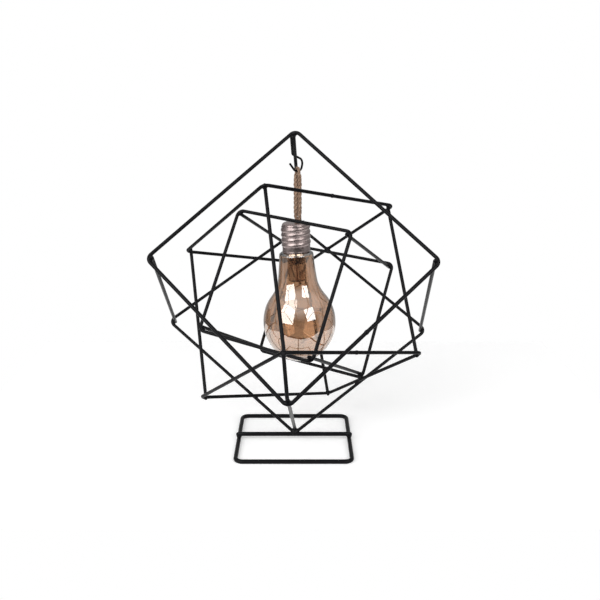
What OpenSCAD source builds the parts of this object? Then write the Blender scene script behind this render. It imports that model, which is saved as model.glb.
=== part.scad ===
// Table lamp: three bent-wire cubes leaning in each other, on a wire foot, with a battery
// lamp bulb hung inside on a rope loop.
// Lengths are in millimetres. X runs right, Y away from the viewer and Z up.
// The floor is z = 0 and the middle of the foot is the origin.

/* [Wire] */
// thickness of the cube wire
wire_d = 3; // [2.4:0.1:3.6]
// thickness of the foot wire
foot_wire_d = 4; // [3.2:0.1:5]
// thickness of the hook wire
hook_wire_d = 2; // [1.6:0.1:2.4]
// bend radius of the cube corners, at the wire centre
bend_r = 5.5; // [4.5:0.5:8]
// radius of a weld bead on the cube wire
bead_r = 2.2; // [2:0.1:2.6]
// how far two welded cube wires sink into each other
weld_sink = 0.12; // [0.05:0.01:0.2]

/* [Foot] */
// width of the foot, between wire centres
foot_width = 110; // [80:0.5:140]
// depth of the foot, between wire centres
foot_depth = 102.5; // [80:0.5:140]
// bend radius of the foot corners, at the wire centre
foot_bend_r = 9; // [6:0.5:14]
// how far the crossbar runs past the foot's sides
bar_overhang = 1; // [0:0.5:3]
// how far the bottom corner of the cubes sinks into the crossbar weld
foot_sink = 0.6; // [0.2:0.1:0.8]
// sideways place of the cubes' bottom corner on the crossbar
foot_corner_x = 0.7; // [-10:0.1:10]

/* [Outer cube] */
// edge of the outer cube, between wire centres
outer_edge = 175; // [150:0.5:190]
// top corner angle of its front square
outer_front_angle = 89.5; // [87:0.1:92]
// bottom corner angle of its rear square
outer_rear_angle = 100.1; // [96:0.1:101]
// sideways shift of the front square against the rear one
outer_shift_x = 1.8; // [-6:0.1:6]
// lengthways shift of the front square against the rear one
outer_shift_y = 1.5; // [-6:0.1:6]
// slant of the rear square against the front one, about its up and down line
outer_slant = 3.6; // [0:0.1:5]
// twist of the rear square in its own plane
outer_twist = -0.1; // [-3:0.1:3]
// lean of the cube about X
outer_lean = 54.5; // [50:0.1:58]
// lean of the cube about Y
outer_roll = 0.1; // [-3:0.1:4]
// turn of the cube about Z
outer_turn = -2.5; // [-4:0.1:3]

/* [Middle cube] */
// edge of the middle cube, as a share of the outer cube's
middle_share = 0.859; // [0.84:0.001:0.88]
// corner angle of its upper square
middle_upper_angle = 90.7; // [89:0.1:92]
// corner angle of its lower square
middle_lower_angle = 92.2; // [89:0.1:94]
// sideways shift of the upper square against the lower one
middle_shift_x = -3.3; // [-6:0.1:6]
// lengthways shift of the upper square against the lower one
middle_shift_y = 2.6; // [-6:0.1:6]
// twist of the lower square in its own plane
middle_twist = -1.8; // [-3:0.1:3]
// lean of the cube about X
middle_lean = 32.7; // [28:0.1:34]
// lean of the cube about Y
middle_roll = 13.3; // [10:0.1:16]
// turn of the cube about Z
middle_turn = 175.9; // [173:0.1:179]

/* [Inner cube] */
// edge of the inner cube, as a share of the middle cube's
inner_share = 0.813; // [0.79:0.001:0.82]
// corner angle of its front square
inner_front_angle = 89.4; // [88:0.1:91]
// corner angle of its rear square
inner_rear_angle = 89; // [88:0.1:92]
// sideways shift of the front square against the rear one
inner_shift_x = -4.8; // [-6:0.1:6]
// lengthways shift of the front square against the rear one
inner_shift_y = -5.2; // [-6:0.1:6]
// twist of the rear square in its own plane
inner_twist = 1.2; // [-3:0.1:3]
// lean of the cube about X
inner_lean = 53.7; // [51:0.1:57]
// lean of the cube about Y
inner_roll = -34.1; // [-37:0.1:-32]
// turn of the cube about Z
inner_turn = -4.8; // [-8:0.1:-1]

/* [Hook and rope] */
// how far along the top strut the hook wire starts
hook_start = 7; // [4:0.5:12]
// how far along the top strut the hook wire leaves it
hook_leave = 31; // [26:0.5:34]
// height of the hook's lowest wire centre under the top corner
hook_drop = 38.6; // [33:0.1:42]
// distance of the rope behind the bottom corner of the cubes
rope_y = 25; // [23:0.5:28]
// place of the rope to the right of the foot's middle
rope_x = 3.7; // [1:0.1:5]
// turn of the hook's open end, seen from above
hook_turn = 30; // [20:1:45]
// thickness of the rope
rope_d = 2.7; // [2:0.1:3.2]
// distance between the rope's two legs at the lid
rope_legs = 3.1; // [2.6:0.1:3.6]
// straight length from the hook to the lid
rope_length = 48.7; // [44:0.5:54]
// size of the knot under the lid
knot_r = 3.3; // [3:0.1:3.6]

/* [Bulb] */
// greatest diameter of the glass
glass_d = 71.4; // [64:0.2:76]
// diameter of the glass at the top of its neck
glass_neck_d = 32.4; // [30:0.2:34]
// length of the bulb from the lid to the bottom of the glass
bulb_length = 139.5; // [130:0.5:146]
// wall of the glass
glass_wall = 1; // [0.8:0.1:1.4]
// sideways tilt of the bulb
bulb_tilt = 2.6; // [0:0.1:4]
// distance of the rope from the bulb's axis at the lid
rope_offset = 2.8; // [0:0.1:3]

/* [Cap] */
// diameter over the thread crests
cap_d = 27.4; // [26:0.1:29]
// depth of the thread
thread_depth = 1.1; // [0.7:0.1:1.3]
// distance between two thread crests
thread_pitch = 4.9; // [4:0.1:5]
// inner diameter of the cap shell
cap_bore = 22.6; // [22:0.1:23]
// height of the lid above the cap shell
lid_height = 3.2; // [2.6:0.1:4]
// height of the cap shell
cap_height = 23.4; // [23:0.1:26]
// height of the ring between cap and glass
collar_height = 1.9; // [1.4:0.1:2.4]
// gap all round between the collar's tube and the cap shell
twist_gap = 0.08; // [0.04:0.01:0.1]
// length of the bayonet turn
twist_angle = 50; // [30:1:70]
// travel of the switch knob
switch_travel = 2; // [1.5:0.1:2.5]
// distance of the switch knob from the bulb's axis
switch_x = 8.4; // [8.2:0.1:8.8]

/* [Battery pack and light string] */
// diameter of the battery pack
holder_d = 17; // [15:0.5:19]
// length of the battery pack under the board
holder_length = 43; // [36:1:46]
// diameter of one button cell
cell_d = 11.6; // [11:0.1:12]
// height of one button cell
cell_h = 5.4; // [5:0.1:5.6]
// thickness of the fine wire
led_wire_d = 0.8; // [0.6:0.1:1]
// radius of one LED bead
led_r = 1.7; // [1.4:0.1:2]

/* [Hidden] */
$fn = 48;

black_paint = [0.12, 0.12, 0.13];
jute = [0.66, 0.56, 0.46];
cap_silver = [0.74, 0.70, 0.69];
amber_glass = [0.72, 0.50, 0.32, 0.45];
dark_plastic = [0.18, 0.16, 0.16];
board_green = [0.16, 0.36, 0.24];
steel = [0.76, 0.77, 0.78];
copper = [0.72, 0.42, 0.26];
led_clear = [0.95, 0.90, 0.74];

// Directions and turns

function unit(v) = v / norm(v);

// a vector turned about X, then Y, then Z, as rotate() does
function about_x(v, a) = [v[0], v[1]*cos(a) - v[2]*sin(a), v[1]*sin(a) + v[2]*cos(a)];
function about_y(v, a) = [v[0]*cos(a) + v[2]*sin(a), v[1], v[2]*cos(a) - v[0]*sin(a)];
function about_z(v, a) = [v[0]*cos(a) - v[1]*sin(a), v[0]*sin(a) + v[1]*cos(a), v[2]];
function turned(v, t) = about_z(about_y(about_x(v, t[0]), t[1]), t[2]);

// Corners of a bent-wire cube
// A square is a rhombus with equal edges and the given angle at its first and third corner.

function square_corners(edge, angle, middle, turn) =
  let (t = edge*cos(angle/2), s = edge*sin(angle/2))
  [for (p = [[0, t, 0], [s, 0, 0], [0, -t, 0], [-s, 0, 0]]) turned(p, turn) + middle];

function cube_corners(edge, angles, shift, rear_turn, turn) =
  let (half = [shift[0], shift[1], edge]/2)
  [for (p = concat(square_corners(edge, angles[0], half, [0, 0, 0]),
                   square_corners(edge, angles[1], -half, rear_turn))) turned(p, turn)];

function moved(points, by) = [for (p = points) p + by];

// signed distance between the line a-b and the line c-d
function line_normal(a, b, c, d) = unit(cross(b - a, d - c));
function line_gap(a, b, c, d) = (c - a)*line_normal(a, b, c, d);

// the shift that puts three pairs of lines at their wanted distances
function three_planes(n, t) =
  (t[0]*cross(n[1], n[2]) + t[1]*cross(n[2], n[0]) + t[2]*cross(n[0], n[1]))
  / (n[0]*cross(n[1], n[2]));

// inward direction at corner q between its neighbours p and r
function inward(p, q, r) = unit(unit(p - q) + unit(r - q));
function half_angle(p, q, r) = acos(unit(p - q)*inward(p, q, r));
// how far the bent wire cuts the sharp corner
function corner_cut(p, q, r, bend) = bend/sin(half_angle(p, q, r)) - bend;

function next4(i) = (i + 1) % 4;
function back4(i) = (i + 3) % 4;

// point of a square's corner i, taken in along its inward direction
function in_from(c, i, start, depth) =
  let (q = c[start + i], p = c[start + back4(i)], r = c[start + next4(i)])
  q + inward(p, q, r)*(corner_cut(p, q, r, bend_r) + depth);

// Places of the three cubes

bar_z = foot_wire_d*1.5 - weld_sink;

middle_edge = outer_edge*middle_share;
inner_edge = middle_edge*inner_share;

outer_shape = cube_corners(outer_edge, [outer_front_angle, outer_rear_angle],
  [outer_shift_x, outer_shift_y], [0, outer_slant, outer_twist], [outer_lean, outer_roll, outer_turn]);
// the bent bottom corner rests on the crossbar
corner_wire = in_from(outer_shape, 2, 4, 0);
outer = moved(outer_shape, [foot_corner_x - corner_wire[0], -corner_wire[1],
  bar_z + (wire_d + foot_wire_d)/2 - foot_sink - corner_wire[2]]);

// centre distance of two welded cube wires
touch = wire_d - weld_sink;

middle_shape = cube_corners(middle_edge, [middle_upper_angle, middle_lower_angle],
  [middle_shift_x, middle_shift_y], [0, 0, middle_twist], [middle_lean, middle_roll, middle_turn]);
// the middle cube leans on three sides of the outer rear square
middle_rests = [
  [outer[4], outer[5], middle_shape[2], middle_shape[3], -touch],
  [outer[7], outer[4], middle_shape[1], middle_shape[2], touch],
  [outer[5], outer[6], middle_shape[6], middle_shape[7], touch]];
middle = moved(middle_shape, three_planes(
  [for (r = middle_rests) line_normal(r[0], r[1], r[2], r[3])],
  [for (r = middle_rests) r[4] - line_gap(r[0], r[1], r[2], r[3])]));

inner_shape = cube_corners(inner_edge, [inner_front_angle, inner_rear_angle],
  [inner_shift_x, inner_shift_y], [0, 0, inner_twist], [inner_lean, inner_roll, inner_turn]);
// the inner cube leans on the outer cube's rear square and on two sides of the middle cube,
// on the lower one with the bend of its own lowest corner
inner_corner = in_from(inner_shape, 2, 4, 0);
inner_rests = [
  [outer[4], outer[5], inner_shape[4], inner_shape[5], touch],
  [middle[6], middle[7], inner_corner, inner_corner + inner_shape[7] - inner_shape[5], -touch],
  [middle[1], middle[2], inner_shape[7], inner_shape[4], touch]];
inner = moved(inner_shape, three_planes(
  [for (r = inner_rests) line_normal(r[0], r[1], r[2], r[3])],
  [for (r = inner_rests) r[4] - line_gap(r[0], r[1], r[2], r[3])]));

// Wire pieces

// a cylinder from point a to point b
module wire_between(a, b, d) {
  v = b - a;
  translate(a)
    rotate([0, acos(v[2]/norm(v)), atan2(v[1], v[0])])
      cylinder(h = norm(v), d = d);
}

// The wire is drawn a little thinner in its bends, and each bend runs on into the straights.
bend_thin = 0.06;
bend_lap = 0.25;

// a bend at corner q between neighbours p and r
module wire_bend(p, q, r, d, bend) {
  lap = asin(bend_lap/bend);
  u = unit(p - q);
  w = unit(r - q);
  h = half_angle(p, q, r);
  centre = q + inward(p, q, r)*bend/sin(h);
  x = unit(q + u*bend/tan(h) - centre);
  z = unit(cross(x, unit(q + w*bend/tan(h) - centre)));
  y = cross(z, x);
  multmatrix([[x[0], y[0], z[0], centre[0]],
              [x[1], y[1], z[1], centre[1]],
              [x[2], y[2], z[2], centre[2]],
              [0, 0, 0, 1]])
    rotate([0, 0, -lap])
      rotate_extrude(angle = 180 - 2*h + 2*lap)
        translate([bend, 0])
          circle(d = d - bend_thin);
}

// distance from a corner to where its bend starts
function bend_reach(p, q, r, bend) = bend/tan(half_angle(p, q, r));

// a closed ring of bent wire through the corners
module wire_ring(c, d, bend) {
  n = len(c);
  for (i = [0:n - 1]) {
    p = c[(i + n - 1) % n];
    q = c[i];
    r = c[(i + 1) % n];
    s = c[(i + 2) % n];
    wire_bend(p, q, r, d, bend);
    along = unit(r - q);
    wire_between(q + along*bend_reach(p, q, r, bend), r - along*bend_reach(q, r, s, bend), d);
  }
}

// an open run of bent wire through the corners, each with its own bend radius
module wire_run(c, d, bends) {
  n = len(c);
  for (i = [0:n - 2]) {
    along = unit(c[i + 1] - c[i]);
    start = i == 0 ? 0 : bend_reach(c[i - 1], c[i], c[i + 1], bends[i]);
    stop = i == n - 2 ? 0 : bend_reach(c[i], c[i + 1], c[i + 2], bends[i + 1]);
    wire_between(c[i] + along*start, c[i + 1] - along*stop, d);
    if (i > 0) wire_bend(c[i - 1], c[i], c[i + 1], d, bends[i]);
  }
}

module cube_square(c, start) {
  wire_ring([for (i = [0:3]) c[start + i]], wire_d, bend_r);
}

// Struts lie in the inside of the bent corners and run a little past the squares.
strut_depth = wire_d - weld_sink;
strut_overhang = wire_d*0.7;

function strut_ends(c, i) =
  let (a = in_from(c, i, 0, strut_depth), b = in_from(c, i, 4, strut_depth), v = unit(b - a))
  [a - v*strut_overhang, b + v*strut_overhang];

module cube_strut(c, i) {
  e = strut_ends(c, i);
  wire_between(e[0], e[1], wire_d);
}

module bead(at, r = bead_r) {
  translate(at) sphere(r = r);
}

// eight beads of a cube, each between a strut and a bent corner
module corner_beads(c) {
  for (i = [0:3]) {
    for (start = [0, 4]) bead(in_from(c, i, start, wire_d/2));
  }
}

// the butt weld that closes a ring, as a bead in the middle of one side
module closing_bead(a, b) {
  bead((a + b)/2, wire_d/2 + 0.25);
}

// point on the line a-b that is nearest to the line c-d
function nearest(a, b, c, d) =
  let (u = unit(b - a), v = unit(d - c), k = u*v, w = a - c)
  a + u*((k*(v*w) - u*w)/(1 - k*k));

function crossing(a, b, c, d) = (nearest(a, b, c, d) + nearest(c, d, a, b))/2;

// Foot

module base_loop() {
  w = foot_width/2;
  d = foot_depth/2;
  z = foot_wire_d/2;
  color(black_paint)
    wire_ring([[-w, -d, z], [w, -d, z], [w, d, z], [-w, d, z]], foot_wire_d, foot_bend_r);
}

bar_half = foot_width/2 + foot_wire_d/2 + bar_overhang;

module base_crossbar() {
  color(black_paint) wire_between([-bar_half, 0, bar_z], [bar_half, 0, bar_z], foot_wire_d);
}

module base_welds() {
  color(black_paint) {
    for (s = [-1, 1]) bead([s*foot_width/2, 0, foot_wire_d], foot_wire_d*0.62);
    bead([foot_corner_x, 0, bar_z + foot_wire_d/2], foot_wire_d*0.8);
  }
}

// Outer cube

module outer_front_loop() {
  color(black_paint) cube_square(outer, 0);
}

module outer_rear_loop() {
  color(black_paint) cube_square(outer, 4);
}

module outer_strut_top() {
  color(black_paint) cube_strut(outer, 0);
}

module outer_strut_right() {
  color(black_paint) cube_strut(outer, 1);
}

module outer_strut_bottom() {
  color(black_paint) cube_strut(outer, 2);
}

module outer_strut_left() {
  color(black_paint) cube_strut(outer, 3);
}

module outer_welds() {
  color(black_paint) {
    corner_beads(outer);
    closing_bead(outer[1], outer[2]);
  }
}

// Middle cube

module middle_upper_loop() {
  color(black_paint) cube_square(middle, 0);
}

module middle_lower_loop() {
  color(black_paint) cube_square(middle, 4);
}

module middle_strut_1() {
  color(black_paint) cube_strut(middle, 0);
}

module middle_strut_2() {
  color(black_paint) cube_strut(middle, 1);
}

module middle_strut_3() {
  color(black_paint) cube_strut(middle, 2);
}

module middle_strut_4() {
  color(black_paint) cube_strut(middle, 3);
}

module middle_welds() {
  color(black_paint) {
    corner_beads(middle);
    closing_bead(middle[0], middle[3]);
    closing_bead(middle[4], middle[7]);
  }
}

// Inner cube

module inner_front_loop() {
  color(black_paint) cube_square(inner, 0);
}

module inner_rear_loop() {
  color(black_paint) cube_square(inner, 4);
}

module inner_strut_1() {
  color(black_paint) cube_strut(inner, 0);
}

module inner_strut_2() {
  color(black_paint) cube_strut(inner, 1);
}

module inner_strut_3() {
  color(black_paint) cube_strut(inner, 2);
}

module inner_strut_4() {
  color(black_paint) cube_strut(inner, 3);
}

module inner_welds() {
  color(black_paint) corner_beads(inner);
}

// Where the cubes touch

module crossing_welds() {
  color(black_paint) {
    for (r = middle_rests) {
      bead(crossing(r[0], r[1], r[2] + middle[0] - middle_shape[0],
                    r[3] + middle[0] - middle_shape[0]));
    }
    for (r = inner_rests) {
      bead(crossing(r[0], r[1], r[2] + inner[0] - inner_shape[0],
                    r[3] + inner[0] - inner_shape[0]));
    }
    bead(crossing(outer[6], outer[7], middle[5], middle[6]));
    bead(stay_end, wire_d*0.8);
  }
}

// Stay from the outer cube's lowest front corner to the middle cube

stay_start = in_from(outer, 2, 0, -wire_d*0.3);
stay_end = in_from(middle, 0, 4, 0);

module stay_wire() {
  color(black_paint) wire_between(stay_start, stay_end, wire_d);
}

// Hook

top_strut = strut_ends(outer, 0);
top_along = unit(top_strut[1] - top_strut[0]);
hook_side = (wire_d + hook_wire_d)/2 - 0.05;
hook_left = unit(cross(cross(top_along, [-1, 0, 0]), top_along))*hook_side;

function beside_strut(s) = top_strut[0] + top_along*s + hook_left;

hook_low = [rope_x, rope_y, outer[0][2] - hook_drop];
hook_out = [cos(hook_turn), sin(hook_turn), 0];
// the wire leaves the strut, bulges right, turns under the rope and ends in an open tip
hook_points = [
  beside_strut(hook_start),
  beside_strut(hook_leave),
  hook_low + hook_out*6 + [0, 0, 9.6],
  hook_low + hook_out*3.6,
  hook_low - hook_out*3,
  hook_low - hook_out*8.4 + [0, 0, 7]];
// bend radius at each of these points
hook_bends = [0, 5, 4.5, 3, 3, 0];

module hook() {
  color(black_paint) wire_run(hook_points, hook_wire_d, hook_bends);
}

// Rope loop and knot
// The loop passes over the hook's lowest wire; its legs come together on the way down.

lid_top = hook_low - [0, 0, rope_length];
crown_r = (hook_wire_d + rope_d)/2 + 0.15;
rope_rings = 9;

// how far round the crown's plane is turned into the lid's slot at height share k
function leg_turn(k) = (hook_turn - 90)*(1 - k);
function leg_half(k) = crown_r + (rope_legs/2 - crown_r)*min(1, k*4);
function leg_point(side, k) =
  hook_low + about_z([side*leg_half(k), 0, 0], leg_turn(k))
  - [0, 0, k*(rope_length + lid_height + 0.6)];

rope_path = concat(
  [for (i = [rope_rings:-1:1]) leg_point(-1, i/rope_rings)],
  [for (a = [180:-30:0]) hook_low + about_z([crown_r*cos(a), 0, crown_r*sin(a)], leg_turn(0))],
  [for (i = [1:rope_rings]) leg_point(1, i/rope_rings)]);

// a tube of flat sides swept along points
function path_dir(p, i) = unit(p[min(i + 1, len(p) - 1)] - p[max(i - 1, 0)]);
function path_side(p, i) = unit(cross(path_dir(p, i), sweep_side));
sweep_side = [0.3, 1, 0.05];

function tube_points(p, r, n) = [for (i = [0:len(p) - 1])
  let (d = path_dir(p, i), x = path_side(p, i), y = cross(d, x))
  for (k = [0:n - 1]) p[i] + (x*cos(360*k/n) + y*sin(360*k/n))*r];

function tube_faces(m, n) = concat(
  [[for (k = [0:n - 1]) k]],
  [for (i = [0:m - 2]) for (k = [0:n - 1])
    [i*n + k, (i + 1)*n + k, (i + 1)*n + (k + 1) % n, i*n + (k + 1) % n]],
  [[for (k = [n - 1:-1:0]) (m - 1)*n + k]]);

module swept_tube(p, r, n) {
  polyhedron(points = tube_points(p, r, n), faces = tube_faces(len(p), n));
}

module hanging_rope() {
  color(jute) swept_tube(rope_path, rope_d/2, 8);
}

knot_at = lid_top - [0, 0, lid_height + 0.6 + knot_r*0.75];

module rope_knot() {
  color(jute) translate(knot_at) sphere(r = knot_r);
}

// Bulb frame: origin on the lid above the bulb's axis, -z down the axis
// The rope enters beside the axis, so the bulb hangs tilted.

module bulb_frame() {
  translate(lid_top)
    rotate([0, -bulb_tilt, 0])
      translate([-rope_offset, 0, 0])
        children();
}

// a turned solid from rings of depth and radius
module turned_solid(rings) {
  rotate_extrude()
    polygon([for (r = rings) [r[1], -r[0]]]);
}

cap_r = cap_d/2;
bore_r = cap_bore/2;
root_r = cap_r - thread_depth;
shell_top = lid_height;
shell_bottom = lid_height + cap_height;
slot_gap = 0.45;

// Cap lid

spigot = 2.4;
spigot_r = bore_r - 0.05;

module cap_lid() {
  color(cap_silver)
    bulb_frame()
      difference() {
        union() {
          turned_solid([[0, 0], [0, cap_r - 3.4], [0.5, cap_r - 2.2], [1.5, cap_r - 1.4],
                        [lid_height, cap_r - 1], [lid_height, 0]]);
          turned_solid([[lid_height, bore_r - 1.2], [lid_height, spigot_r],
                        [lid_height + spigot, spigot_r], [lid_height + spigot, bore_r - 1.2]]);
        }
        translate([rope_offset, 0, -lid_height - 0.5])
          linear_extrude(lid_height + 1)
            rope_slot();
        translate([switch_x, 0, -lid_height/2])
          cube([knob_wide + 2*slot_gap, knob_deep + switch_travel + 2*slot_gap,
                lid_height + 1], center = true);
      }
}

module rope_slot() {
  for (s = [-1, 1]) translate([s*rope_legs/2, 0]) circle(r = rope_d/2 + slot_gap);
  square([rope_legs, rope_d + 2*slot_gap], center = true);
}

// Cap shell with rounded thread crests

crest_count = 4;
first_crest = shell_top + thread_pitch/2;

// thread outline as rings from the shell's top to its bottom
thread_rings = concat(
  [[shell_top, cap_r - 1]],
  [for (i = [0:crest_count - 1]) for (a = [-180:45:135])
    [first_crest + thread_pitch*(i + a/360), root_r + thread_depth*(1 + cos(a))/2]],
  [[first_crest + thread_pitch*(crest_count - 0.5), root_r], [shell_bottom, root_r]]);

lug_r = bore_r + 0.55;
lug_wide = 2.4;
lug_high = 1.6;
lug_down = shell_bottom - 4.6;

module cap_shell() {
  color(cap_silver)
    bulb_frame()
      difference() {
        turned_solid(concat([[shell_top, bore_r]], thread_rings, [[shell_bottom, bore_r]]));
        for (a = [0, 180]) rotate([0, 0, a]) bayonet_groove();
      }
}

// the groove that a lug runs in, with its way out at the end of the turn
module bayonet_groove() {
  groove = lug_high + 0.4;
  translate([0, 0, -lug_down - groove/2])
    rotate([0, 0, -lug_wide/bore_r*45])
      rotate_extrude(angle = twist_angle + lug_wide/bore_r*90)
        translate([bore_r - 0.5, 0])
          square([lug_r + 0.15 - bore_r + 0.5, groove]);
  rotate([0, 0, twist_angle])
    translate([bore_r - 0.5, -lug_wide/2 - 0.3, -shell_bottom - 0.5])
      cube([lug_r + 0.15 - bore_r + 0.5, lug_wide + 0.6, shell_bottom - lug_down + 0.5]);
}

// Switch

knob_wide = 2;
knob_deep = 2.4;
board_at = lid_height + 9.6;
board_thick = 1.2;
switch_high = 3.6;

module switch_knob() {
  color(steel)
    bulb_frame()
      translate([switch_x - knob_wide/2, -knob_deep/2 - switch_travel/2,
                 -(board_at - switch_high - 0.15)])
        cube([knob_wide, knob_deep, board_at - switch_high - 0.15 + 1.3]);
}

module switch_body() {
  color(steel)
    bulb_frame()
      translate([bore_r - 5.2, -3.4, -board_at])
        cube([3.8, 6.8, switch_high]);
}

module circuit_board() {
  color(board_green)
    bulb_frame()
      translate([0, 0, -board_at - board_thick])
        cylinder(h = board_thick, r = bore_r - 0.05);
}

module resistor() {
  color(dark_plastic)
    bulb_frame()
      translate([-7, 0, -board_at])
        translate([-1, -2, 0])
          cube([2, 4, 0.9]);
}

// Battery pack

holder_top = board_at + board_thick;
holder_bottom = holder_top + holder_length;
// length of the pack above its cells, where the leads run
lead_room = 8;
bay_top = holder_top + lead_room;
bay_r = cell_d/2 + 0.2;
cup_high = 1.6;
plate_high = 0.5;
bay_bottom = bay_top + plate_high + 3*cell_h + cup_high;
wire_hole_r = 1.6;
// length of the tight hole that grips the fine wire at the pack's lower end
wire_grip = 2.5;

module battery_holder() {
  color(dark_plastic)
    bulb_frame()
      difference() {
        union() {
          translate([0, 0, -holder_top - 1.6]) cylinder(h = 1.6, r = bore_r - 0.05);
          translate([0, 0, -holder_bottom]) cylinder(h = holder_length, d = holder_d);
        }
        translate([0, 0, -bay_bottom]) cylinder(h = bay_bottom - bay_top, r = bay_r);
        translate([0, 0, -bay_top - 0.5]) cylinder(h = lead_room + 2, r = wire_hole_r);
        translate([0, 0, -holder_bottom + wire_grip])
          cylinder(h = holder_bottom - wire_grip - bay_bottom + 0.5, r = wire_hole_r);
        translate([0, 0, -holder_bottom - 1])
          cylinder(h = wire_grip + 1.5, r = led_wire_d/2 - 0.04);
      }
}

module contact_plate() {
  color(steel)
    bulb_frame()
      translate([0, 0, -bay_top - plate_high])
        cylinder(h = plate_high, r = cell_d/2 - 0.6);
}

module one_cell(i) {
  top = bay_top + plate_high + i*cell_h;
  color(steel)
    bulb_frame() {
      translate([0, 0, -top - 0.6]) cylinder(h = 0.6, r = cell_d/2 - 0.9);
      translate([0, 0, -top - cell_h]) cylinder(h = cell_h - 0.6, r = cell_d/2);
    }
}

module cell_1() {
  one_cell(0);
}

module cell_2() {
  one_cell(1);
}

module cell_3() {
  one_cell(2);
}

// a shallow sprung cup under the lowest cell
module contact_cup() {
  top = bay_bottom - cup_high;
  color(steel)
    bulb_frame()
      turned_solid([[top, 2.4], [top, 3.2], [bay_bottom - 0.4, 4.6], [bay_bottom, 4.6],
                    [bay_bottom, wire_hole_r + 0.4], [bay_bottom - 0.5, wire_hole_r + 0.4],
                    [bay_bottom - 0.5, 3.4]]);
}

// Light string: a curl of fine wire that hangs from the pack into the glass

led_top = bay_bottom + 0.6;
// height of the string's lowest point over the bottom of the glass
led_end = 14;
// distance of the widest curl from the glass
led_clearance = 11;
led_drop = bulb_length - led_end - led_top;
led_turns = 2.25;
led_steps = 54;

// share of the way down, from 0 at the pack to 1 at the lowest point
function led_share(i) = max(0, (i - 6)/(led_steps - 6));
function led_spread(t) = (glass_d/2 - led_clearance)*sin(160*t);
function led_point(i) =
  i < 7 ? [0, 0, -led_top - (holder_bottom + 1 - led_top)*i/6]
  : let (t = led_share(i), a = 360*led_turns*t, r = led_spread(t))
    [r*cos(a), r*sin(a), -(holder_bottom + 1) - (led_drop - holder_bottom - 1 + led_top)*t];

led_path = [for (i = [0:led_steps]) led_point(i)];

module led_wire() {
  color(copper) bulb_frame() swept_tube(led_path, led_wire_d/2, 6);
}

module one_led(k) {
  color(led_clear)
    bulb_frame()
      translate(led_path[8 + k*9]) sphere(r = led_r, $fn = 24);
}

module led_1() {
  one_led(0);
}

module led_2() {
  one_led(1);
}

module led_3() {
  one_led(2);
}

module led_4() {
  one_led(3);
}

module led_5() {
  one_led(4);
}

module led_6() {
  one_led(5);
}

// Collar and glass, which turn together

tube_r = bore_r - twist_gap;
lip_r = cap_r - 0.5;
collar_top = shell_bottom + 0.1;
collar_bottom = collar_top + collar_height;
tube_top = lug_down - 1;
tube_in = tube_r - 1.3;

module neck_collar() {
  color(cap_silver)
    bulb_frame() {
      turned_solid([[tube_top, tube_in], [tube_top, tube_r], [collar_top, tube_r],
                    [collar_top, lip_r], [collar_bottom, lip_r], [collar_bottom, tube_r],
                    [collar_bottom + 3, tube_r], [collar_bottom + 3, tube_in]]);
      for (a = [0, 180]) {
        rotate([0, 0, a])
          translate([tube_r - 0.6, -lug_wide/2, -lug_down - lug_high/2])
            intersection() {
              cube([lug_r - tube_r + 0.6, lug_wide, lug_high]);
              translate([0.6 - tube_r, lug_wide/2, -1]) cylinder(h = lug_high + 2, r = lug_r);
            }
      }
    }
}

neck_r = glass_neck_d/2;
belly_r = glass_d/2;
belly_at = collar_bottom + (bulb_length - collar_bottom)*0.645;

// outline of the glass from the neck's shoulder to the belly, as depth share and radius share
flank = [[0.035, 0.018], [0.12, 0.035], [0.2, 0.066], [0.32, 0.115], [0.42, 0.17],
         [0.5, 0.25], [0.58, 0.39], [0.66, 0.6], [0.73, 0.77], [0.8, 0.885], [0.88, 0.96],
         [0.94, 0.99]];

glass_out = concat(
  [[collar_bottom, tube_r + 0.9], [collar_bottom + 0.4, neck_r - 2], [collar_bottom + 1.2, neck_r - 0.7]],
  [for (f = flank) [collar_bottom + (belly_at - collar_bottom)*f[0],
                    neck_r + (belly_r - neck_r)*f[1]]],
  [for (a = [0:6:84]) [belly_at + (bulb_length - belly_at)*sin(a), belly_r*cos(a)]],
  [[bulb_length, 0]]);

glass_in = concat(
  [[bulb_length - glass_wall, 0]],
  [for (a = [84:-6:0]) [belly_at + (bulb_length - glass_wall - belly_at)*sin(a),
                        (belly_r - glass_wall)*cos(a)]],
  [for (i = [len(flank) - 1:-1:0]) [collar_bottom + (belly_at - collar_bottom)*flank[i][0] + glass_wall*0.3,
                        neck_r - glass_wall + (belly_r - neck_r)*flank[i][1]]],
  [[collar_bottom + 1.8, neck_r - glass_wall - 0.6], [collar_bottom + 1.3, tube_r + 0.9],
   [collar_bottom + 2.4, tube_r + 0.9], [collar_bottom + 2.4, tube_r], [collar_bottom, tube_r]]);

module glass_bulb() {
  color(amber_glass) bulb_frame() turned_solid(concat(glass_out, glass_in));
}

base_loop();
base_crossbar();
base_welds();
outer_front_loop();
outer_rear_loop();
outer_strut_top();
outer_strut_right();
outer_strut_bottom();
outer_strut_left();
outer_welds();
middle_upper_loop();
middle_lower_loop();
middle_strut_1();
middle_strut_2();
middle_strut_3();
middle_strut_4();
middle_welds();
inner_front_loop();
inner_rear_loop();
inner_strut_1();
inner_strut_2();
inner_strut_3();
inner_strut_4();
inner_welds();
stay_wire();
hook();
crossing_welds();
hanging_rope();
rope_knot();
cap_lid();
cap_shell();
circuit_board();
switch_body();
resistor();
battery_holder();
contact_plate();
contact_cup();
cell_1();
cell_2();
cell_3();
led_wire();
led_1();
led_2();
led_3();
led_4();
led_5();
led_6();
switch_knob();
neck_collar();
glass_bulb();
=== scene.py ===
import math

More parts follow.
